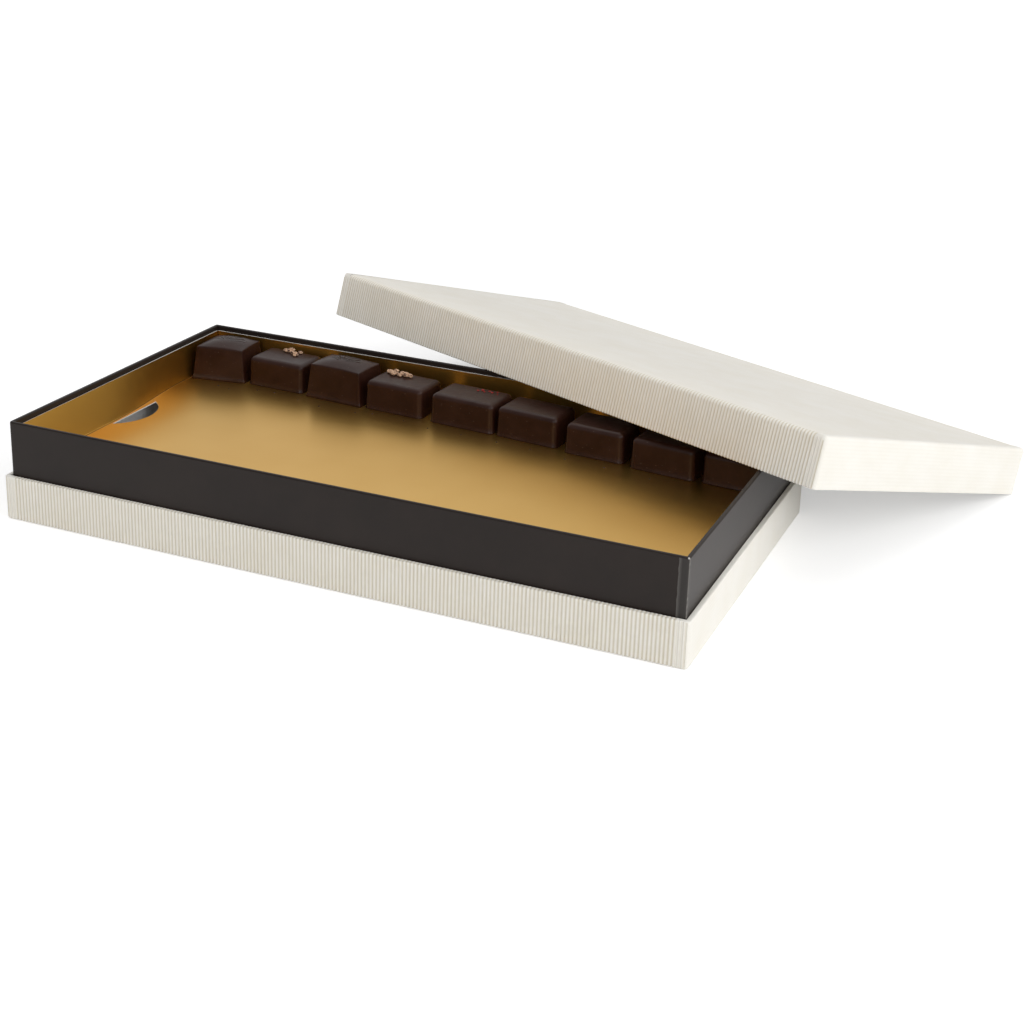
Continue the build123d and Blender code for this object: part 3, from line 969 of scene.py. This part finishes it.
# Toppings and crumbs
# Broken cacao nibs and flakes of dried raspberry, strewn on the wet coat, and a few crumbs that
# fell on the tray.
nib_tan = (0.56, 0.35, 0.22, 1)
nib_husk = (0.075, 0.032, 0.022, 1)
flake_red = (0.36, 0.018, 0.016, 1)
flake_pale = (0.60, 0.22, 0.17, 1)
crumb_color = (0.05, 0.020, 0.012, 1)
chips_per_nib = 2
chip_growth = 1.3
crumb_places = ((-128, 46.5, 0.35), (-121, 44.8, 0.28), (-108, 49.5, 0.3), (-99, 50.3, 0.4),
                (-84, 46.5, 0.3), (-71, 43.5, 0.35), (-52, 44.0, 0.32), (-44, 46.0, 0.42),
                (-27, 44.5, 0.3), (-13, 41.0, 0.34), (4, 40.5, 0.3), (22, 39.5, 0.4),
                (39, 38.0, 0.3), (57, 34.5, 0.33), (76, 33.0, 0.4), (98, 30.0, 0.3))


def islands(node):
    """The separate crumbs of a CAD node: the middle of each and its half size."""
    bm = bmesh.new()
    bm.from_mesh(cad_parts[node].data)
    bmesh.ops.remove_doubles(bm, verts=bm.verts, dist=0.01 * mm)
    left = set(bm.verts)
    found = []
    while left:
        grown, edge = set(), [next(iter(left))]
        while edge:
            v = edge.pop()
            if v in grown:
                continue
            grown.add(v)
            edge += [e.other_vert(v) for e in v.link_edges]
        left -= grown
        low = Vector([min(v.co[i] for v in grown) for i in range(3)])
        high = Vector([max(v.co[i] for v in grown) for i in range(3)])
        found.append(((low + high) / 2, (high - low) / 2))
    bm.free()
    return sorted(found, key=lambda item: (round(item[0].x, 5), round(item[0].y, 5)))


def broken_chip(bm, centre, size, seed):
    """A small angular chip: a coarse ball pushed about, flat underneath."""
    made = bmesh.ops.create_icosphere(bm, subdivisions=2, radius=1)["verts"]
    turn = Matrix.Rotation(seed * 2.4, 3, "Z") @ Matrix.Rotation(seed * 1.3, 3, "X")
    for v in made:
        push = 1 + 0.55 * noise.noise(v.co * 1.4 + Vector((seed * 3.1, 0, 0)))
        shaped = turn @ (v.co * push)
        v.co = centre + Vector((shaped.x * size.x, shaped.y * size.y, max(shaped.z, -0.9) * size.z))


def chip_piece(name, chips, body, material, node=None):
    bm = bmesh.new()
    for i, (centre, size) in enumerate(chips):
        broken_chip(bm, centre, size, i + len(name))
    mesh = bpy.data.meshes.new(name)
    bm.to_mesh(mesh)
    bm.free()
    mesh.materials.append(material)
    piece = bpy.data.objects.new(name, mesh)
    bpy.context.scene.collection.objects.link(piece)
    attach(piece, body)
    if node:
        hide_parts(node)


def crumb_material(name, color, other, scale, split):
    material, tree, output = new_material(name)
    patches = add_noise(tree, scale, detail=3, roughness=0.7)
    tint = ramp(tree, patches, ((split - 0.04, other), (split + 0.04, color)))
    grain = add_noise(tree, scale * 4, detail=3)
    shader(tree, output, tint, 0.6, bump(tree, grain, 0.5, 0.0002))
    return material


nib_material = crumb_material("cacao_nib", nib_tan, nib_husk, 700, 0.44)
flake_material = crumb_material("fruit_flake", flake_red, flake_pale, 900, 0.36)
for number in (2, 4):
    chips = []
    for i, (centre, half) in enumerate(islands(f"nibs_{number}")):
        for part in range(chips_per_nib):
            aside = Vector((cos(i * 2 + part * 2.3), 1.3 * sin(i * 2 + part * 2.3), 0)) * half.x * 0.7
            size = Vector((half.x, half.x * 0.7, half.z)) * (chip_growth - 0.3 * part)
            chips.append((centre + aside - Vector((0, 0, half.z - size.z)), size))
    chip_piece(f"broken_nibs_{number}", chips, f"praline_{number}_piece", nib_material,
               f"nibs_{number}")
chips = [(centre, Vector((half.x, half.y * 0.7, half.z))) for centre, half in islands("flakes_5")]
chip_piece("raspberry_flakes_5", chips, "praline_5_piece", flake_material, "flakes_5")
crumb_chips = [(Vector((x * mm, y * mm, floor_z + 0.25 * r * mm)), Vector((r, r * 0.8, r * 0.6)) * mm)
               for x, y, r in crumb_places]
chip_piece("chocolate_crumbs", crumb_chips, "tray",
           crumb_material("chocolate_crumb", crumb_color, bloom_and_highlight_color, 900, 0.4))
